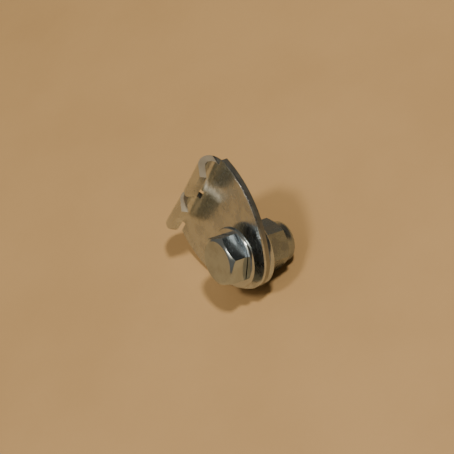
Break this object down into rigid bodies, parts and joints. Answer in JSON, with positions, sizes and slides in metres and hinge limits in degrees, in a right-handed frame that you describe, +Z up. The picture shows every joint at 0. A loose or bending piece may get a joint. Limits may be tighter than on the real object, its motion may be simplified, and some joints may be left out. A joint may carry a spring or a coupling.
{
  "type": "straddle cable clip",
  "caption": "Fan-shaped steel cable clip: rolled hooks carry a straddle cable, and a cross-drilled pinch bolt with washers and a lock nut grips the brake cable.",
  "frame": {"origin": "on the ground, under the middle of the clip's bounding box, as the clip lies on a flat surface", "axes": "+Z up; the bolt lies in the XZ plane with its nut towards +X and tipped down to the ground; the hooks are on the upper +Y side"},
  "size_m": [0.0196, 0.0312, 0.0261],
  "materials": {
    "hanger_plate": "bright zinc plated, satin",
    "pinch_bolt": "bright zinc plated",
    "front_washer": "bright zinc plated",
    "back_washer": "bright zinc plated",
    "lock_nut": "zinc plated, satin",
    "nut_insert": "natural nylon"
  },
  "bodies": {
    "hanger": {"hanger_plate": "hanger_plate"},
    "rear_washer": {"back_washer": "back_washer"},
    "bolt": {"pinch_bolt": "pinch_bolt"},
    "head_washer": {"front_washer": "front_washer"},
    "nut": {"lock_nut": "lock_nut", "nut_insert": "nut_insert"}
  },
  "joints": [
    {"name": "stack_swivel", "type": "hinge", "parent": "hanger", "child": "rear_washer", "pos_m": [-0.00173, -0.00786, 0.00956], "axis": [0.8348, 0, -0.5505], "continuous": true},
    {"name": "bolt_draw", "type": "slide", "parent": "rear_washer", "child": "bolt", "axis": [0.8348, 0, -0.5505], "range_m": [-0.002, 0.0013]},
    {"name": "nut_turn", "type": "hinge", "parent": "rear_washer", "child": "nut", "pos_m": [0.00076, -0.00786, 0.00792], "axis": [-0.8348, 0, 0.5505], "range_deg": [-722, 470]},
    {"name": "washer_spin", "type": "hinge", "parent": "bolt", "child": "head_washer", "pos_m": [-0.00395, -0.00778, 0.01074], "axis": [0.8348, 0, -0.5505], "continuous": true}
  ],
  "couplings": [
    {"joint": "nut_turn", "follows": "bolt_draw", "rad_per_m": 6283.2}
  ]
}
